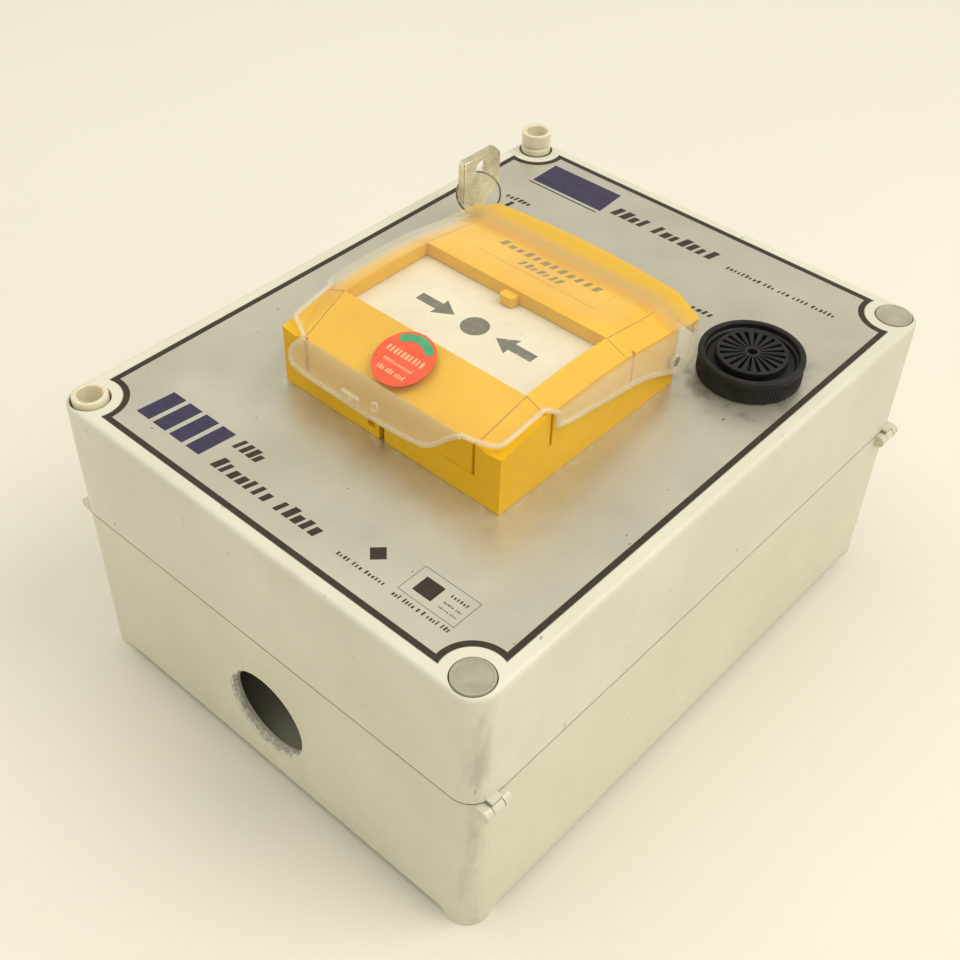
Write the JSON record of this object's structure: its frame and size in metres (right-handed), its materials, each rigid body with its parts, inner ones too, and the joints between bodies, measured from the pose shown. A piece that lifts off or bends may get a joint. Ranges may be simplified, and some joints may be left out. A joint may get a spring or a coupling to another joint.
{
  "type": "fire alarm control panel",
  "caption": "Wall-mounted plastic control box with hinged lid, yellow call point under a clear hinged cover, key switch and sounder.",
  "frame": {"origin": "middle of the bounding box's bottom face, on the plane of the four corner pads that rest on the wall or table", "axes": "+X is the panel's reading direction (left to right), +Y is up as mounted on a wall, +Z points out of the wall through the lid"},
  "size_m": [0.1784, 0.223, 0.1391],
  "materials": {
    "box_plastic": "satin moulded plastic",
    "lid_plastic": "fine textured moulded plastic",
    "label_metal": "satin printed metal",
    "yellow_plastic": "moulded, slightly glossy",
    "clear_plastic": "clear moulded",
    "white_plastic": "smooth",
    "nylon": "waxy natural nylon",
    "black_plastic": "moulded",
    "black_gloss": "sleeved",
    "red_paper": "printed sticker",
    "red_plastic": "moulded",
    "nickel": "worn nickel plate",
    "steel": "zinc plated",
    "brass": "bare",
    "bare_aluminium": "extruded",
    "board_green": "solder resist",
    "green_plastic": "moulded",
    "blue_plastic": "moulded",
    "battery_case": "moulded",
    "lead_cover": "wire insulation",
    "fuse_glass": "clear tube",
    "green_lens": "tinted lens",
    "seal_rubber": "foam strip"
  },
  "bodies": {
    "base": {"base_shell": "box_plastic", "seal_strips": "seal_rubber", "corner_sockets": "brass", "hinge_pins": "steel", "main_board": "board_green", "board_screws": "steel", "terminal_blocks": "green_plastic", "terminal_screws": "steel", "relays": "blue_plastic", "capacitors": "black_gloss", "board_chips": "black_plastic", "fuse_clips": "nickel", "fuse": "fuse_glass", "heat_sink": "bare_aluminium", "ribbon_header": "black_plastic", "battery": "battery_case", "battery_tabs": "brass", "battery_strap": "steel", "strap_screws": "steel", "battery_leads": "lead_cover"},
    "lid": {"lid_shell": "lid_plastic", "label_plate": "label_metal", "call_point_tray": "yellow_plastic", "tray_screws": "steel", "micro_switch": "black_plastic", "call_point_frame": "yellow_plastic", "cover_pins": "steel", "lock_body": "nickel", "lock_nut": "nickel", "contact_block": "black_plastic", "contact_tabs": "brass", "sounder_bezel": "black_plastic", "sounder_body": "black_plastic", "sounder_grille": "black_plastic", "sounder_disc": "brass", "sounder_nut": "black_plastic", "sounder_pins": "brass", "lamp_bezel": "black_plastic", "lamp_lens": "green_lens", "lid_board": "board_green", "lid_board_screws": "steel", "lid_header": "black_plastic"},
    "cover": {"clear_cover": "clear_plastic", "cover_sticker": "red_paper"},
    "element": {"press_element": "white_plastic"},
    "plunger": {"switch_plunger": "red_plastic"},
    "barrel": {"lock_barrel": "nickel", "lock_cam": "steel"},
    "key": {"key": "nickel"},
    "key_ring": {"key_ring": "steel"},
    "screw_tl": {"screw_top_left": "nylon"},
    "screw_bl": {"screw_bottom_left": "nylon"},
    "screw_tr": {"screw_top_right": "nylon", "cap_top_right": "nylon"},
    "screw_br": {"screw_bottom_right": "nylon", "cap_bottom_right": "nylon"}
  },
  "joints": [
    {"name": "lid_hinge", "type": "hinge", "parent": "base", "child": "lid", "pos_m": [0.087, 0, 0.0609], "axis": [0, 1, 0], "range_deg": [0, 100]},
    {"name": "cover_hinge", "type": "hinge", "parent": "lid", "child": "cover", "pos_m": [0.00165, 0.0215, 0.119], "axis": [-1, 0, 0], "range_deg": [0, 52]},
    {"name": "element_press", "type": "slide", "parent": "lid", "child": "element", "axis": [0, 0, -1], "range_m": [0, 0.0025]},
    {"name": "plunger_press", "type": "slide", "parent": "lid", "child": "plunger", "axis": [0, 0, -1], "range_m": [0, 0.0025]},
    {"name": "lock_turn", "type": "hinge", "parent": "lid", "child": "barrel", "pos_m": [-0.0606, 0.0514, 0.1], "axis": [0, 0, -1], "range_deg": [0, 90]},
    {"name": "key_pull", "type": "slide", "parent": "barrel", "child": "key", "axis": [0, 0, 1], "range_m": [0, 0.028]},
    {"name": "ring_swing", "type": "hinge", "parent": "key", "child": "key_ring", "pos_m": [-0.0606, 0.0514, 0.12755], "axis": [-0.7826, -0.6225, 0], "range_deg": [0, 12]},
    {"name": "screw_tl_lift", "type": "slide", "parent": "lid", "child": "screw_tl", "axis": [0, 0, 1], "range_m": [-0.0094, 0]},
    {"name": "screw_bl_lift", "type": "slide", "parent": "lid", "child": "screw_bl", "axis": [0, 0, 1], "range_m": [-0.0031, 0.0063]},
    {"name": "screw_tr_lift", "type": "slide", "parent": "lid", "child": "screw_tr", "axis": [0, 0, 1], "range_m": [0, 0.0094]},
    {"name": "screw_br_lift", "type": "slide", "parent": "lid", "child": "screw_br", "axis": [0, 0, 1], "range_m": [0, 0.0094]}
  ],
  "couplings": [
    {"joint": "plunger_press", "follows": "element_press", "ratio": 1}
  ]
}
